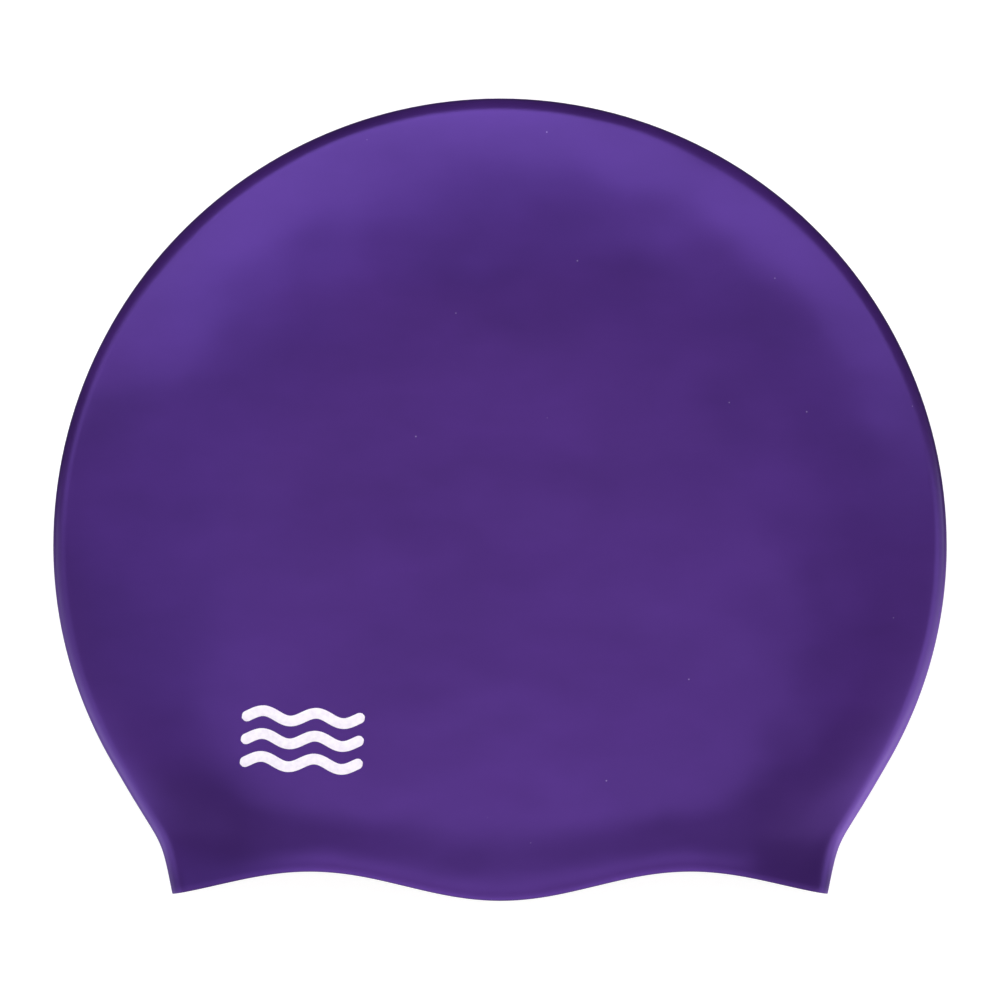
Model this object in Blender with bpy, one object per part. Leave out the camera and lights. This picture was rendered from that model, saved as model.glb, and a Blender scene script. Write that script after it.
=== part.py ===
"""Silicone swim cap, lying on its side on a table in its own relaxed shape.

Run it with: blender --background --python part.py

Metres. +Z is up off the table, +Y runs from the mouth to the crown and +X across
the cap. The origin is on the table, under the middle of the cap's outline.

The cap is one moulded pouch with a thin wall. Seen from above, its outline is a
half circle at the crown, shoulders that draw in below it, and a short neck that
ends in a waved rim. Its lower panel lies flat, the edge is a round fold, and the
upper panel rises from the fold to a shallow belly. The rim is open all the way
across, and the head goes in there.
"""

import math
from collections import namedtuple

import bmesh
import bpy

# The outline from above. Heights here run up from the middle line of the rim's wave.
CROWN_RADIUS = 0.110  # the half circle over the crown, half of the cap's full width
CROWN_CENTRE_HEIGHT = 0.0834  # the half circle's centre
SHOULDER_DEPTH = 0.1074  # below that centre the outline is a half ellipse this deep
MOUTH_WIDTH = 0.1608  # from corner to corner of the rim
NECK_FLARE = 0.17  # how much the neck's half width grows with height
NECK_BLEND = 0.0036  # width over which the shoulder eases into the neck at the rim

# The rim's wave: one low swell over the ear, with an arch on each side of it.
RIM_WAVE_HEIGHT = 0.0071  # from the top of an arch to the bottom of the swell
RIM_WAVE_LENGTH = 0.576 * MOUTH_WIDTH  # from arch to arch
RIM_WAVE_REACH = 0.030  # height over which the wave fades into the panels

# The section through both panels.
WALL_THICKNESS = 0.0007
FOLD_RADIUS = 0.005  # half of the rolled edge's height
FOLD_WIDTH = 0.0062  # how far the roll reaches in from the outline, for each half of it
BELLY_RISE = 0.0096  # the upper panel's height above its fold, at the crown's centre
BELLY_POWER = 4  # 2 is a plain parabola, and a higher power is flatter in the middle
BELLY_FALL = 0.0016  # what the belly loses evenly on its way to the mouth
NECK_FALL = 0.0040  # what it loses besides in the neck
NECK_HEIGHT = 0.0085  # where the neck falls off fastest
NECK_LENGTH = 0.0080  # the length over which most of that fall happens
LIP_FLARE = 0.0012  # how far the rim turns up again
LIP_LENGTH = 0.0045  # the length over which it does so

# Soft hollows in the upper panel. Every length is a share: across of half the mouth's
# width, up of the crown centre's height, wide and tall of the crown's radius. The depth
# is a share of the panel's own height above the middle of the fold.
Hollow = namedtuple("Hollow", "name across up deep wide tall")
HOLLOWS = (
    Hollow("left_corner", -1.00, 0.05, 0.26, 0.170, 0.130),
    Hollow("right_corner", 1.04, 0.03, 0.40, 0.160, 0.150),
)

# How finely the shape is cut into faces.
ROWS = 14  # from the rim up to the crown's centre
ROW_GATHER = 1.35  # 1 spaces the rows evenly, and more than 1 gathers them at the rim
SECTORS = 32  # round the half circle of the crown
PANEL_STEPS = 10  # from the middle of a panel to its fold
FOLD_STEPS = 4  # over each half of the fold

RUBBER_COLOUR = (0.075, 0.030, 0.185, 1.0)
RUBBER_ROUGHNESS = 0.42

RIM_WAVE = RIM_WAVE_HEIGHT / 2
# The origin stands under the middle of the outline, from the ear's swell to the crown.
MIDDLE_HEIGHT = (CROWN_CENTRE_HEIGHT + CROWN_RADIUS - RIM_WAVE) / 2


def ease(value):
    """From 0 to 1 with a soft start and end."""
    value = min(1.0, max(0.0, value))
    return value * value * (3 - 2 * value)


def half_width(height):
    """Half of the outline's width, from the rim up to the crown's centre."""
    left = 1 - height / CROWN_CENTRE_HEIGHT
    drop = min(1.0, left * CROWN_CENTRE_HEIGHT / SHOULDER_DEPTH)
    shoulder = CROWN_RADIUS * math.sqrt(1 - drop * drop)
    neck = min(CROWN_RADIUS, MOUTH_WIDTH / 2 + NECK_FLARE * height)
    # The wider of the two, eased over the crossing so that one curves into the other.
    return (shoulder + neck + math.hypot(shoulder - neck, NECK_BLEND * left)) / 2


def rim_offset(across, height):
    """How far the rim's wave lifts a point, full at the rim and gone above its reach."""
    wave = -RIM_WAVE * math.cos(2 * math.pi * across / RIM_WAVE_LENGTH)
    return wave * (1 - ease(height / RIM_WAVE_REACH))


def belly_rise(height):
    """The upper panel's rise above its fold on the middle line, low at the mouth."""
    below = max(0.0, 1 - height / CROWN_CENTRE_HEIGHT)
    neck = 1 / (1 + math.exp(2 * (height - NECK_HEIGHT) / NECK_LENGTH))
    flare = LIP_FLARE * math.exp(-max(0.0, height) / LIP_LENGTH)
    return BELLY_RISE - BELLY_FALL * below**2 - NECK_FALL * neck + flare


def hollow_share(across, height):
    """The share that the soft hollows take off the upper panel's height at a point."""
    taken = 0.0
    for hollow in HOLLOWS:
        off_across = across - hollow.across * MOUTH_WIDTH / 2
        off_up = height - hollow.up * CROWN_CENTRE_HEIGHT
        reach = math.hypot(
            off_across / (hollow.wide * CROWN_RADIUS),
            off_up / (hollow.tall * CROWN_RADIUS),
        )
        taken += hollow.deep * math.exp(-reach * reach)
    return taken


def section(length, rise):
    """(distance from the middle, height) pairs of a section of this length.

    They run from the middle of the upper panel, round the fold, to the middle of the
    lower panel, which lies on the table.
    """
    # The fold hands over to the upper panel where both have the same slope. The turn is
    # the angle on the fold's ellipse, 0 at its outermost point.
    slope = BELLY_POWER * rise / (length - FOLD_WIDTH)
    turn = math.atan2(FOLD_RADIUS, FOLD_WIDTH * slope)
    panel_end = length - FOLD_WIDTH * (1 - math.cos(turn))
    fold_top = FOLD_RADIUS * (1 + math.sin(turn))
    points = []
    for step in range(PANEL_STEPS):
        share = step / PANEL_STEPS
        share = share * (3 - share) / 2  # the steps are shorter near the fold
        points.append((panel_end * share, fold_top + rise * (1 - share**BELLY_POWER)))
    for step in range(2 * FOLD_STEPS + 1):
        if step < FOLD_STEPS:
            angle = turn * (1 - step / FOLD_STEPS)
        else:
            angle = math.pi / 2 * (1 - step / FOLD_STEPS)
        distance = length - FOLD_WIDTH * (1 - math.cos(angle))
        points.append((distance, FOLD_RADIUS * (1 + math.sin(angle))))
    for step in range(1, PANEL_STEPS + 1):
        points.append(((length - FOLD_WIDTH) * (1 - step / PANEL_STEPS), 0.0))
    return points


def surface_vertex(mesh, across, up, high):
    """A vertex of the outer surface in the object's frame, with the hollows pressed in."""
    if high > FOLD_RADIUS:
        high = FOLD_RADIUS + (high - FOLD_RADIUS) * (1 - hollow_share(across, up))
    return mesh.verts.new((across, up - MIDDLE_HEIGHT, high))


def ring(mesh, height):
    """Vertices of a closed ring round the cap: down the +X side, back up the -X side."""
    half = section(half_width(height), belly_rise(height))
    sides = half + [(-distance, high) for distance, high in half[-2:0:-1]]
    return [
        surface_vertex(mesh, across, height + rim_offset(across, height), high)
        for across, high in sides
    ]


def spoke(mesh, angle, centre_above, centre_below):
    """Vertices over the crown at one angle round its centre, from panel to panel."""
    line = [centre_above]
    for distance, high in section(CROWN_RADIUS, belly_rise(CROWN_CENTRE_HEIGHT))[1:-1]:
        across = distance * math.cos(angle)
        up = CROWN_CENTRE_HEIGHT + distance * math.sin(angle)
        line.append(surface_vertex(mesh, across, up, high))
    line.append(centre_below)
    return line


def skin(mesh, lines, closed):
    """Faces between each line of vertices and the next one."""
    for line, following in zip(lines, lines[1:]):
        last = len(line) if closed else len(line) - 1
        for index in range(last):
            after = (index + 1) % len(line)
            corners = [line[index], line[after], following[after], following[index]]
            # Two lines that meet in one vertex have a triangle there.
            mesh.faces.new(list(dict.fromkeys(corners)))


def outer_surface():
    """The pouch's outer surface, open at the mouth."""
    mesh = bmesh.new()
    shares = [(row / ROWS) ** ROW_GATHER for row in range(ROWS + 1)]
    rings = [ring(mesh, CROWN_CENTRE_HEIGHT * share) for share in shares]
    skin(mesh, rings, closed=True)

    # The last ring runs through the crown's centre, and its halves are the outer spokes.
    widest = rings[-1]
    turn = len(widest) // 2
    spokes = [widest[: turn + 1]]
    for sector in range(1, SECTORS):
        spokes.append(spoke(mesh, math.pi * sector / SECTORS, widest[0], widest[turn]))
    spokes.append([widest[0], *widest[: turn - 1 : -1]])
    skin(mesh, spokes, closed=False)

    bmesh.ops.recalc_face_normals(mesh, faces=mesh.faces)
    made = bpy.data.meshes.new("cap")
    mesh.to_mesh(made)
    mesh.free()
    return made


def silicone():
    """Purple silicone rubber with a satin surface."""
    material = bpy.data.materials.new("silicone")
    material.use_nodes = True
    shader = material.node_tree.nodes["Principled BSDF"]
    shader.inputs["Base Color"].default_value = RUBBER_COLOUR
    shader.inputs["Roughness"].default_value = RUBBER_ROUGHNESS
    shader.inputs["Metallic"].default_value = 0.0
    return material


def make_cap():
    """The whole cap: the outer surface, given its wall on the inside."""
    cap = bpy.data.objects.new("cap", outer_surface())
    bpy.context.scene.collection.objects.link(cap)
    cap.data.materials.append(silicone())
    cap.data.shade_smooth()
    wall = cap.modifiers.new("wall", "SOLIDIFY")
    wall.thickness = WALL_THICKNESS
    wall.offset = -1.0
    wall.use_even_offset = True
    wall.use_rim = True
    return cap


def main():
    for old in list(bpy.data.objects):
        bpy.data.objects.remove(old)
    make_cap()


main()
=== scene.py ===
"""The looks of a silicone swim cap that lies on its side, seen from straight above."""

import math
from collections import namedtuple

import bmesh
import bpy
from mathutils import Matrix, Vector, noise


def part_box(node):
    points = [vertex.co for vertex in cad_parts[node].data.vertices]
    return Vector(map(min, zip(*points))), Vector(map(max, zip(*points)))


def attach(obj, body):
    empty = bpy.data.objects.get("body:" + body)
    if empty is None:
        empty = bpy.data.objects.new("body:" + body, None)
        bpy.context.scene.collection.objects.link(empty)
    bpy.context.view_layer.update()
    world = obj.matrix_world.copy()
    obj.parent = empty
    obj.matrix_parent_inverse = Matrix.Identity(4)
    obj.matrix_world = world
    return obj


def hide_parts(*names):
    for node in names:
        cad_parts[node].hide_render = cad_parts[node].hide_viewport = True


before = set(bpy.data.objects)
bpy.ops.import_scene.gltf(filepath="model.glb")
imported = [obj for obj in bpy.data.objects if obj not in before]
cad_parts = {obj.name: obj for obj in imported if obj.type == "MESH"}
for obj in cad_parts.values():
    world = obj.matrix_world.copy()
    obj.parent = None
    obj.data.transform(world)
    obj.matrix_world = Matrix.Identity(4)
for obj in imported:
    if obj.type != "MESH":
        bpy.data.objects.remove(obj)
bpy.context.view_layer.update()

# The outline from above. Its width and its place along Y come from the CAD node's box.
# +Y runs from the mouth to the crown, and heights in the outline's plane are counted up
# from the middle line of the rim's wave.
CAP_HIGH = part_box("cap")[1]
CROWN_RADIUS = CAP_HIGH.x
CROWN_CENTRE_HEIGHT = 0.0834
SHOULDER_DEPTH = 0.1074
MOUTH_WIDTH = 0.1608
NECK_FLARE = 0.17
NECK_BLEND = 0.0036
RIM_WAVE = 0.0071 / 2
RIM_WAVE_LENGTH = 0.576 * MOUTH_WIDTH
RIM_WAVE_REACH = 0.030
MIDDLE_HEIGHT = CROWN_CENTRE_HEIGHT + CROWN_RADIUS - CAP_HIGH.y

# The section through both panels.
WALL_THICKNESS = 0.0007
RIM_ROUNDING = 0.00016
RIM_EDGE_ANGLE = math.radians(50)
FOLD_RADIUS = 0.005
FOLD_WIDTH = 0.0062
BELLY_RISE = 0.0096
BELLY_POWER = 4
BELLY_FALL = 0.0016
NECK_FALL = 0.0040
NECK_HEIGHT = 0.0085
NECK_LENGTH = 0.0080
LIP_FLARE = 0.0012
LIP_LENGTH = 0.0045

# Soft hollows: across as a share of half the mouth's width, up of the crown centre's
# height, wide and tall of the crown's radius, deep of the panel's height over the fold.
Hollow = namedtuple("Hollow", "name across up deep wide tall")
HOLLOWS = (
    Hollow("left_corner", -1.00, 0.05, 0.26, 0.170, 0.130),
    Hollow("right_corner", 1.04, 0.03, 0.40, 0.160, 0.150),
)

# The unevenness of the soft panel: broad swells, small lumps, and ripples along X.
BROAD_WAVE = 0.036
BROAD_HEIGHT = 0.00038
SMALL_WAVE = 0.013
SMALL_HEIGHT = 0.00018
RIPPLE_LENGTH = 0.050
RIPPLE_WAVE = 0.011
RIPPLE_HEIGHT = 0.00003

# How finely the surface is cut.
ROWS = 84
SECTORS = 110
PANEL_STEPS = 56
FOLD_STEPS = 14

# The printed mark on the panel: wavy strokes, one above the other.
MARK_ACROSS = -0.0483
MARK_UP = 0.0359
MARK_WIDTH = 0.0300
MARK_TILT = math.radians(-2.7)
STROKES = 3
STROKE_WIDTH = 0.0026
STROKE_GAP = 0.0056
STROKE_WAVE_LENGTH = 0.0130
STROKE_WAVE_HEIGHT = 0.0011
STROKE_STATIONS = 96
INK_THICKNESS = 0.00006
INK_EDGE_ANGLE = math.radians(40)

# Each *_NOISE pair gives the values of a noise texture that stand for none and all of
# what it drives.

# The silicone's mottling: its two colours, in patches that are drawn out along X.
MOTTLE_DEEP = (0.0268, 0.0088, 0.072, 1)
MOTTLE_PALE = (0.0396, 0.0130, 0.106, 1)
MOTTLE_NOISE = (0.25, 0.75)
MOTTLE_SCALE = 26
MOTTLE_STRETCH = 1.9

# Painted shade: the silicone is painted darker round points by the two corners of the mouth, out
# to their reach.
PAINTED_SHADE_COLOUR = (0.006, 0.002, 0.018, 1)
SHADED_CORNERS = ((-0.068, -0.084, 0.006), (0.075, -0.087, 0.006))
CORNER_SHADE_REACH = 0.027
CORNER_SHADE_SHARE = 0.42

# Painted highlight: the fold is painted paler as the Z of its normal falls over the facing
# pair. Along Y the paint comes in over the begins pair and goes out over the ends pair. Its
# share goes from the left to the right value over the sides pair along X.
PAINTED_HIGHLIGHT_COLOUR = (0.125, 0.056, 0.31, 1)
HIGHLIGHT_FACING = (0.97, 0.74)
HIGHLIGHT_BEGINS = (-0.012, -0.072)
HIGHLIGHT_ENDS = (-0.083, -0.094)
HIGHLIGHT_SIDES = (-0.05, 0.05)
HIGHLIGHT_LEFT = 0.55
HIGHLIGHT_RIGHT = 1.0

# Painted highlight: the trimmed rim is painted paler over this length, by this share at the very
# edge.
RIM_HIGHLIGHT_LENGTH = 0.0018
RIM_HIGHLIGHT_SHARE = 0.30

# Specks of lint, one at most in each cell. The radii are shares of a cell.
LINT_COLOUR = (0.42, 0.38, 0.5, 1)
LINT_SCALE = 95
LINT_RADII = (0.012, 0.022)
LINT_SHARE = 0.45

# The satin gloss, and the fine grain of the surface.
ROUGHNESS = (0.279, 0.31)
GLOSS_NOISE = (0.2, 0.8)
GLOSS_SCALE = 60
GLOSS_TINT = (0.345, 0.178, 1.0, 1)
SILICONE_IOR = 1.45
GRAIN_SCALE = 2600
GRAIN_STRENGTH = 0.25
GRAIN_HEIGHT = 0.00004

# The print's two shades of off-white, and its gloss in each.
INK_FRESH = (0.76, 0.73, 0.79, 1)
INK_WORN = (0.66, 0.62, 0.70, 1)
INK_ROUGHNESS = (0.45, 0.6)
INK_NOISE = (0.35, 0.75)
INK_SCALE = 900

# The camera looks straight down from CAMERA_HEIGHT and sees VIEW_WIDTH at the fold.
CAMERA_HEIGHT = 1.6
CAMERA_Y = -0.0004
VIEW_WIDTH = 0.24622
SENSOR_WIDTH = 36

# The stage: the floor lies just under the cap, so the two surfaces don't coincide.
FLOOR_SIZE = 12
FLOOR_DROP = 0.0003
FLOOR_GLOW = 0.8
FLOOR_ALBEDO = 0.35
DOME_RADIUS = 5.5
DOME_GLOW = 1.0
WORLD_STRENGTH = 0.03

# How far the lights stand from the cap, and the colour of two low ones at the right.
LIGHT_DISTANCE = 2.2
WARM = (1.15, 1.1, 1.0)


def ease(value):
    """From 0 to 1 with a soft start and end."""
    value = min(1.0, max(0.0, value))
    return value * value * (3 - 2 * value)


def half_width(height):
    """Half of the outline's width, from the rim up to the crown's centre."""
    left = 1 - height / CROWN_CENTRE_HEIGHT
    drop = min(1.0, left * CROWN_CENTRE_HEIGHT / SHOULDER_DEPTH)
    shoulder = CROWN_RADIUS * math.sqrt(1 - drop * drop)
    neck = MOUTH_WIDTH / 2 + NECK_FLARE * height
    return (shoulder + neck + math.hypot(shoulder - neck, NECK_BLEND * left)) / 2


def rim_offset(across, height):
    """How far the rim's wave lifts a point of the outline's plane."""
    wave = -RIM_WAVE * math.cos(2 * math.pi * across / RIM_WAVE_LENGTH)
    return wave * (1 - ease(height / RIM_WAVE_REACH))


def belly_rise(height):
    """The upper panel's rise above its fold on the middle line, low at the mouth."""
    below = max(0.0, 1 - height / CROWN_CENTRE_HEIGHT)
    neck = 1 / (1 + math.exp(2 * (height - NECK_HEIGHT) / NECK_LENGTH))
    flare = LIP_FLARE * math.exp(-max(0.0, height) / LIP_LENGTH)
    return BELLY_RISE - BELLY_FALL * below**2 - NECK_FALL * neck + flare


def hollow_share(across, up):
    """The share that the soft hollows take off the upper panel's height at a point."""
    taken = 0.0
    for hollow in HOLLOWS:
        off_across = across - hollow.across * MOUTH_WIDTH / 2
        off_up = up - hollow.up * CROWN_CENTRE_HEIGHT
        reach = math.hypot(
            off_across / (hollow.wide * CROWN_RADIUS),
            off_up / (hollow.tall * CROWN_RADIUS),
        )
        taken += hollow.deep * math.exp(-reach * reach)
    return taken


def unevenness(across, up):
    """How far the soft panel stands off its ideal shape at a point."""
    spot = Vector((across, up, 0.0))
    broad = noise.noise(spot / BROAD_WAVE)
    small = noise.noise(spot / SMALL_WAVE)
    ripple = noise.noise(Vector((across / RIPPLE_LENGTH, up / RIPPLE_WAVE, 1.0)))
    return BROAD_HEIGHT * broad + SMALL_HEIGHT * small + RIPPLE_HEIGHT * ripple


def softened(across, up, high):
    """The height of a point of the upper panel with its hollows and unevenness."""
    over = high - FOLD_RADIUS
    if over <= 0:
        return high
    over *= 1 - hollow_share(across, up)
    over += unevenness(across, up) * ease(over / FOLD_RADIUS)
    return FOLD_RADIUS + over


def fold_end(length, rise):
    """Where the fold hands over to the upper panel: (turn, distance, height) there.

    The turn is the angle on the fold's ellipse, 0 at its outermost point.
    """
    slope = BELLY_POWER * rise / (length - FOLD_WIDTH)
    turn = math.atan2(FOLD_RADIUS, FOLD_WIDTH * slope)
    distance = length - FOLD_WIDTH * (1 - math.cos(turn))
    return turn, distance, FOLD_RADIUS * (1 + math.sin(turn))


def section(length, rise):
    """(distance from the middle, height) pairs, over the top, round the fold, back below."""
    turn, panel_end, fold_top = fold_end(length, rise)
    points = []
    for step in range(PANEL_STEPS):
        share = step / PANEL_STEPS
        share = share * (3 - share) / 2
        points.append((panel_end * share, fold_top + rise * (1 - share**BELLY_POWER)))
    for step in range(2 * FOLD_STEPS + 1):
        if step < FOLD_STEPS:
            angle = turn * (1 - step / FOLD_STEPS)
        else:
            angle = math.pi / 2 * (1 - step / FOLD_STEPS)
        distance = length - FOLD_WIDTH * (1 - math.cos(angle))
        points.append((distance, FOLD_RADIUS * (1 + math.sin(angle))))
    for step in range(1, PANEL_STEPS + 1):
        points.append(((length - FOLD_WIDTH) * (1 - step / PANEL_STEPS), 0.0))
    return points


def panel_height(across, up):
    """The upper panel's height over a point that lies well inside the outline."""
    if up < CROWN_CENTRE_HEIGHT:
        length = half_width(up)
        distance = abs(across)
    else:
        length = CROWN_RADIUS
        distance = math.hypot(across, up - CROWN_CENTRE_HEIGHT)
    rise = belly_rise(up)
    _, panel_end, fold_top = fold_end(length, rise)
    share = distance / panel_end
    return softened(across, up, fold_top + rise * (1 - share**BELLY_POWER))


def surface_vertex(mesh, across, up, high):
    """A vertex of the outer surface, in the row's frame."""
    high = softened(across, up, high)
    return mesh.verts.new((across, up - MIDDLE_HEIGHT, high))


def ring(mesh, height):
    """A closed ring round the cap: down the +X side, and back up the -X side."""
    half = section(half_width(height), belly_rise(height))
    sides = half + [(-distance, high) for distance, high in half[-2:0:-1]]
    return [
        surface_vertex(mesh, across, height + rim_offset(across, height), high)
        for across, high in sides
    ]


def spoke(mesh, angle, centre_above, centre_below):
    """A line over the crown at one angle round its centre, from panel to panel."""
    line = [centre_above]
    for distance, high in section(CROWN_RADIUS, belly_rise(CROWN_CENTRE_HEIGHT))[1:-1]:
        across = distance * math.cos(angle)
        up = CROWN_CENTRE_HEIGHT + distance * math.sin(angle)
        line.append(surface_vertex(mesh, across, up, high))
    line.append(centre_below)
    return line


def skin(mesh, lines, closed):
    """Faces between each line of vertices and the next one."""
    for line, following in zip(lines, lines[1:]):
        last = len(line) if closed else len(line) - 1
        for index in range(last):
            after = (index + 1) % len(line)
            corners = [line[index], line[after], following[after], following[index]]
            mesh.faces.new(list(dict.fromkeys(corners)))


def new_object(name, mesh, material):
    """A smooth-shaded object of a bmesh, with one material."""
    bmesh.ops.recalc_face_normals(mesh, faces=mesh.faces)
    made = bpy.data.meshes.new(name)
    mesh.to_mesh(made)
    mesh.free()
    made.materials.append(material)
    made.shade_smooth()
    piece = bpy.data.objects.new(name, made)
    bpy.context.scene.collection.objects.link(piece)
    return piece


def make_shell(material):
    """The whole pouch: its outer surface, given a wall with a softly rounded rim."""
    mesh = bmesh.new()
    rings = [ring(mesh, CROWN_CENTRE_HEIGHT * row / ROWS) for row in range(ROWS + 1)]
    skin(mesh, rings, closed=True)
    widest = rings[-1]
    turn = len(widest) // 2
    spokes = [widest[: turn + 1]]
    for sector in range(1, SECTORS):
        spokes.append(spoke(mesh, math.pi * sector / SECTORS, widest[0], widest[turn]))
    spokes.append([widest[0], *widest[: turn - 1 : -1]])
    skin(mesh, spokes, closed=False)
    shell = new_object("shell", mesh, material)

    wall = shell.modifiers.new("wall", "SOLIDIFY")
    wall.thickness = WALL_THICKNESS
    wall.offset = -1.0
    wall.use_even_offset = True
    rounding = shell.modifiers.new("rim_rounding", "BEVEL")
    rounding.width = RIM_ROUNDING
    rounding.segments = 2
    rounding.limit_method = "ANGLE"
    rounding.angle_limit = RIM_EDGE_ANGLE
    return shell


def make_mark(material):
    """The printed mark: wavy strokes of ink that follow the panel."""
    # Across as a share of half the stroke's width, and height over the panel.
    profile = (
        (-1.0, -INK_THICKNESS),
        (-1.0, INK_THICKNESS * 0.4),
        (-0.9, INK_THICKNESS),
        (0.0, INK_THICKNESS),
        (0.9, INK_THICKNESS),
        (1.0, INK_THICKNESS * 0.4),
        (1.0, -INK_THICKNESS),
    )
    steepness = STROKE_WAVE_HEIGHT * 2 * math.pi / STROKE_WAVE_LENGTH
    mesh = bmesh.new()
    for stroke in range(STROKES):
        base = (stroke - (STROKES - 1) / 2) * STROKE_GAP
        loops = []
        for station in range(STROKE_STATIONS + 1):
            along = MARK_WIDTH * (station / STROKE_STATIONS - 0.5)
            phase = 2 * math.pi * along / STROKE_WAVE_LENGTH
            rise = STROKE_WAVE_HEIGHT * math.sin(phase)
            lean = math.atan(steepness * math.cos(phase))
            from_end = MARK_WIDTH / 2 - abs(along)
            # Round ends, which stop at a tenth of the stroke's width.
            round_off = 1 - min(1.0, from_end / (STROKE_WIDTH / 2))
            half = STROKE_WIDTH / 2 * math.sqrt(max(0.01, 1 - round_off**2))
            loop = []
            for side, proud in profile:
                x = along - side * half * math.sin(lean)
                y = base + rise + side * half * math.cos(lean)
                across = MARK_ACROSS + x * math.cos(MARK_TILT) - y * math.sin(MARK_TILT)
                up = MARK_UP + x * math.sin(MARK_TILT) + y * math.cos(MARK_TILT)
                high = panel_height(across, up) + proud
                loop.append(mesh.verts.new((across, up - MIDDLE_HEIGHT, high)))
            loops.append(loop)
        skin(mesh, loops, closed=True)
        mesh.faces.new(loops[0])
        mesh.faces.new(loops[-1])
    mark = new_object("mark", mesh, material)
    mark.data.set_sharp_from_angle(angle=INK_EDGE_ANGLE)
    return mark


def new_material(name):
    """A material with its shader, and the tools to add nodes to it."""
    material = bpy.data.materials.new(name)
    material.use_nodes = True
    nodes = material.node_tree.nodes
    return material, nodes["Principled BSDF"], nodes, material.node_tree.links


def noise_node(nodes, links, vector, scale, detail, roughness=0.5):
    """A noise texture over a vector, with its scale in waves per metre."""
    texture = nodes.new("ShaderNodeTexNoise")
    texture.inputs["Scale"].default_value = scale
    texture.inputs["Detail"].default_value = detail
    texture.inputs["Roughness"].default_value = roughness
    links.new(vector, texture.inputs["Vector"])
    return texture


def remap(nodes, links, value, low, high, to_low, to_high):
    """A value's range from low to high mapped to another, clamped at its ends."""
    node = nodes.new("ShaderNodeMapRange")
    node.inputs["From Min"].default_value = low
    node.inputs["From Max"].default_value = high
    node.inputs["To Min"].default_value = to_low
    node.inputs["To Max"].default_value = to_high
    links.new(value, node.inputs["Value"])
    return node.outputs["Result"]


def math_node(nodes, links, operation, *values):
    """One arithmetic step. Each value is a number or a socket."""
    node = nodes.new("ShaderNodeMath")
    node.operation = operation
    for value, socket in zip(values, node.inputs):
        if isinstance(value, float):
            socket.default_value = value
        else:
            links.new(value, socket)
    return node.outputs["Value"]


def multiply(nodes, links, values):
    """The product of several values."""
    product = values[0]
    for value in values[1:]:
        product = math_node(nodes, links, "MULTIPLY", product, value)
    return product


def mix_colour(nodes, links, factor, first, second):
    """Two colours mixed by a factor. Each is a colour or a socket."""
    node = nodes.new("ShaderNodeMix")
    node.data_type = "RGBA"
    links.new(factor, node.inputs["Factor"])
    for name, colour in (("A", first), ("B", second)):
        socket = [s for s in node.inputs if s.name == name and s.type == "RGBA"][0]
        if isinstance(colour, tuple):
            socket.default_value = colour
        else:
            links.new(colour, socket)
    return [s for s in node.outputs if s.type == "RGBA"][0]


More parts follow.
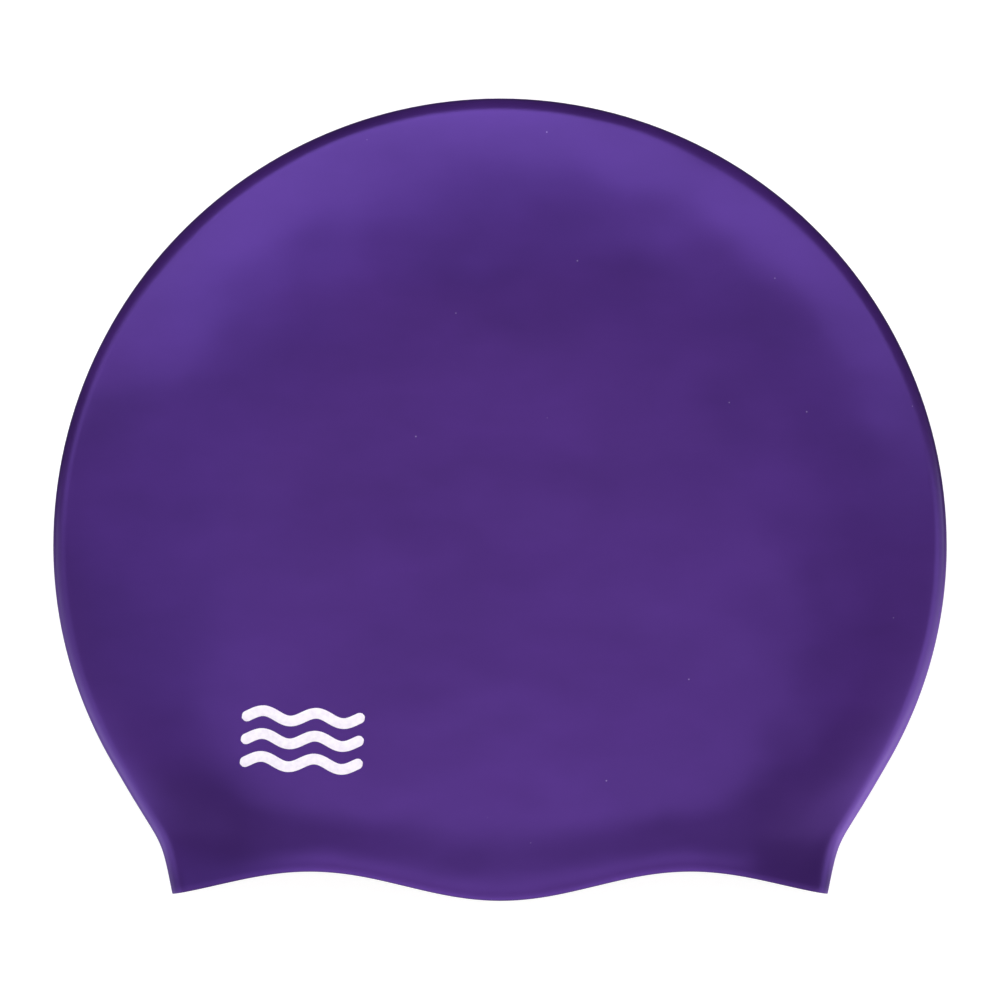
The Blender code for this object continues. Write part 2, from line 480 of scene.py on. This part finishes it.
def silicone():
    """Satin purple silicone: soft mottling, painted highlights on the fold and rim, painted
    shade by the mouth's corners, fine grain, some lint.
    """
    material, shader, nodes, links = new_material("satin_silicone")
    coordinates = nodes.new("ShaderNodeTexCoord")
    where = coordinates.outputs["Object"]

    stretch = nodes.new("ShaderNodeMapping")
    stretch.inputs["Scale"].default_value = (1.0, MOTTLE_STRETCH, 1.0)
    links.new(where, stretch.inputs["Vector"])
    drawn_out = stretch.outputs["Vector"]
    mottle = noise_node(nodes, links, drawn_out, MOTTLE_SCALE, detail=4, roughness=0.6)
    mottle = remap(nodes, links, mottle.outputs["Fac"], *MOTTLE_NOISE, 0.0, 1.0)
    body = mix_colour(nodes, links, mottle, MOTTLE_DEEP, MOTTLE_PALE)

    # Painted shade: darker by the two corners of the mouth.
    for corner in SHADED_CORNERS:
        apart = nodes.new("ShaderNodeVectorMath")
        apart.operation = "DISTANCE"
        apart.inputs[1].default_value = corner
        links.new(where, apart.inputs[0])
        corner_shade = remap(nodes, links, apart.outputs["Value"], 0.0, CORNER_SHADE_REACH, CORNER_SHADE_SHARE, 0.0)
        body = mix_colour(nodes, links, corner_shade, body, PAINTED_SHADE_COLOUR)

    # Painted highlight: paler on the fold, towards the mouth.
    facing = nodes.new("ShaderNodeSeparateXYZ")
    links.new(coordinates.outputs["Normal"], facing.inputs["Vector"])
    fold = remap(nodes, links, facing.outputs["Z"], *HIGHLIGHT_FACING, 0.0, 1.0)
    spot = nodes.new("ShaderNodeSeparateXYZ")
    links.new(where, spot.inputs["Vector"])
    begins = remap(nodes, links, spot.outputs["Y"], *HIGHLIGHT_BEGINS, 0.0, 1.0)
    ends = remap(nodes, links, spot.outputs["Y"], *HIGHLIGHT_ENDS, 1.0, 0.0)
    side = remap(nodes, links, spot.outputs["X"], *HIGHLIGHT_SIDES, HIGHLIGHT_LEFT, HIGHLIGHT_RIGHT)
    pale = multiply(nodes, links, (fold, begins, ends, side))
    body = mix_colour(nodes, links, pale, body, PAINTED_HIGHLIGHT_COLOUR)

    # Painted highlight: paler along the trimmed rim, which follows the rim's wave.
    turn = math_node(nodes, links, "MULTIPLY", spot.outputs["X"], 2 * math.pi / RIM_WAVE_LENGTH)
    wave = math_node(nodes, links, "MULTIPLY", math_node(nodes, links, "COSINE", turn), RIM_WAVE)
    from_rim = math_node(nodes, links, "ADD", spot.outputs["Y"], wave)
    rim_at = -MIDDLE_HEIGHT
    fades_at = RIM_HIGHLIGHT_LENGTH - MIDDLE_HEIGHT
    edge = remap(nodes, links, from_rim, rim_at, fades_at, RIM_HIGHLIGHT_SHARE, 0.0)
    body = mix_colour(nodes, links, edge, body, PAINTED_HIGHLIGHT_COLOUR)

    lint = nodes.new("ShaderNodeTexVoronoi")
    lint.inputs["Scale"].default_value = LINT_SCALE
    links.new(where, lint.inputs["Vector"])
    lint = remap(nodes, links, lint.outputs["Distance"], *LINT_RADII, LINT_SHARE, 0.0)
    colour = mix_colour(nodes, links, lint, body, LINT_COLOUR)
    links.new(colour, shader.inputs["Base Color"])

    patches = noise_node(nodes, links, where, GLOSS_SCALE, detail=4).outputs["Fac"]
    roughness = remap(nodes, links, patches, *GLOSS_NOISE, *ROUGHNESS)
    links.new(roughness, shader.inputs["Roughness"])

    grain = noise_node(nodes, links, where, GRAIN_SCALE, detail=2).outputs["Fac"]
    bump = nodes.new("ShaderNodeBump")
    bump.inputs["Strength"].default_value = GRAIN_STRENGTH
    bump.inputs["Distance"].default_value = GRAIN_HEIGHT
    links.new(grain, bump.inputs["Height"])
    links.new(bump.outputs["Normal"], shader.inputs["Normal"])

    shader.inputs["IOR"].default_value = SILICONE_IOR
    shader.inputs["Specular IOR Level"].default_value = 1.0
    shader.inputs["Specular Tint"].default_value = GLOSS_TINT
    return material


def ink():
    """Matt off-white print."""
    material, shader, nodes, links = new_material("printing_ink")
    where = nodes.new("ShaderNodeTexCoord").outputs["Object"]
    wear = noise_node(nodes, links, where, INK_SCALE, detail=3).outputs["Fac"]
    wear = remap(nodes, links, wear, *INK_NOISE, 0.0, 1.0)
    colour = mix_colour(nodes, links, wear, INK_FRESH, INK_WORN)
    links.new(colour, shader.inputs["Base Color"])
    roughness = remap(nodes, links, wear, 0.0, 1.0, *INK_ROUGHNESS)
    links.new(roughness, shader.inputs["Roughness"])
    return material


def softbox(name, lean, bearing, width, height, radiance, colour=(1, 1, 1)):
    """A rectangular lamp that stands LIGHT_DISTANCE away and faces the cap.

    lean is its angle off straight up and bearing its angle round from +X towards +Y.
    width and height are the angles that it spans. All are in degrees.
    """
    data = bpy.data.lights.new(name, "AREA")
    data.shape = "RECTANGLE"
    data.size = 2 * LIGHT_DISTANCE * math.tan(math.radians(width / 2))
    data.size_y = 2 * LIGHT_DISTANCE * math.tan(math.radians(height / 2))
    data.energy = radiance * math.pi * data.size * data.size_y
    data.color = colour
    lamp = bpy.data.objects.new(name, data)
    lean = math.radians(lean)
    bearing = math.radians(bearing)
    away = math.sin(lean)
    direction = Vector((away * math.cos(bearing), away * math.sin(bearing), math.cos(lean)))
    lamp.location = direction * LIGHT_DISTANCE
    lamp.rotation_euler = direction.to_track_quat("Z", "Y").to_euler()
    lamp.visible_camera = False
    bpy.context.scene.collection.objects.link(lamp)


def make_lights():
    """Soft light from over the crown, weaker boxes near the camera, and low side lights.

    Those that lean past 90 degrees stand below the floor, which casts no shadow. They
    light the lower edges of the cap, as white surroundings would. The strengths and tints
    were fitted to the photographed shading, then rounded and changed.
    """
    softbox("overhead", 5, 275, 34, 28, 1.25, (1.2, 1.0, 1.0))
    softbox("front", 17, 272, 44, 16, 1.55, (1.06, 1.08, 1.0))
    softbox("over_crown", 25, 105, 44, 12, 1.8, (0.78, 0.80, 1.0))
    softbox("over_right", 28, 10, 20, 34, 0.5, (0.9, 0.9, 1.0))
    softbox("over_left", 28, 190, 20, 34, 1.0, (0.9, 0.95, 1.0))
    softbox("key_top", 38, 76, 40, 14, 3.5)
    softbox("key", 51, 92, 40, 16, 4.4)
    softbox("key_right", 48, 34, 28, 26, 2.7)
    softbox("key_left", 43, 132, 28, 28, 3.7)
    softbox("left_high", 60, 158, 24, 24, 2.1)
    softbox("mouth", 35, 270, 44, 18, 0.75)
    softbox("right_low", 66, 321, 32, 24, 2.0, WARM)
    softbox("right_under", 98, 321, 36, 34, 2.2, WARM)
    softbox("right_below", 132, 325, 50, 34, 1.3, (0.6, 0.35, 1.0))
    softbox("right_side", 66, 354, 30, 24, 2.2)
    softbox("right_side_under", 98, 354, 30, 34, 1.4)
    softbox("left_low", 66, 220, 32, 24, 1.8)
    softbox("left_under", 98, 220, 36, 34, 1.7)
    softbox("left_below", 132, 215, 50, 34, 0.8, (0.6, 0.4, 1.0))
    softbox("left_side", 66, 188, 30, 24, 1.2)
    softbox("left_side_under", 98, 190, 26, 34, 1.1)


def make_world():
    """A faint even light from all round."""
    world = bpy.data.worlds.new("studio")
    world.use_nodes = True
    background = world.node_tree.nodes["Background"]
    background.inputs["Color"].default_value = (1, 1, 1, 1)
    background.inputs["Strength"].default_value = WORLD_STRENGTH
    bpy.context.scene.world = world


def stage_material(name, emission, albedo):
    """A surface that glows white, so it stays pale whatever the lights give it."""
    material, shader, _, _ = new_material(name)
    shader.inputs["Base Color"].default_value = (albedo, albedo, albedo, 1)
    shader.inputs["Roughness"].default_value = 1.0
    shader.inputs["Specular IOR Level"].default_value = 0.0
    shader.inputs["Emission Color"].default_value = (1, 1, 1, 1)
    shader.inputs["Emission Strength"].default_value = emission
    return material


def make_stage():
    """A pale floor and a pale dome round it. Only the camera sees them."""
    bpy.ops.mesh.primitive_plane_add(size=FLOOR_SIZE, location=(0, 0, -FLOOR_DROP))
    floor = bpy.context.object
    floor.name = "floor"
    floor.data.materials.append(stage_material("floor", FLOOR_GLOW, FLOOR_ALBEDO))
    bpy.ops.mesh.primitive_uv_sphere_add(segments=48, ring_count=24, radius=DOME_RADIUS)
    dome = bpy.context.object
    dome.name = "backdrop"
    dome.data.shade_smooth()
    dome.data.materials.append(stage_material("backdrop", DOME_GLOW, 0.0))
    for part in (floor, dome):
        part.visible_shadow = False
        part.visible_diffuse = False
        part.visible_glossy = False


def make_camera():
    """Straight above the cap, with the photograph's framing at the height of the fold."""
    camera = bpy.data.cameras.new("camera")
    camera.sensor_width = SENSOR_WIDTH
    camera.lens = SENSOR_WIDTH * (CAMERA_HEIGHT - FOLD_RADIUS) / VIEW_WIDTH
    camera.clip_end = 20
    eye = bpy.data.objects.new("camera", camera)
    eye.location = (0.0, CAMERA_Y, CAMERA_HEIGHT)
    bpy.context.scene.collection.objects.link(eye)
    bpy.context.scene.camera = eye


def main():
    make_camera()
    rubber = silicone()
    shell = make_shell(rubber)
    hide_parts("cap")
    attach(shell, "root")
    mark = make_mark(ink())
    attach(mark, "root")
    make_lights()
    make_world()
    make_stage()
    bpy.context.scene.view_settings.view_transform = "Standard"
    bpy.context.scene.view_settings.look = "None"


main()
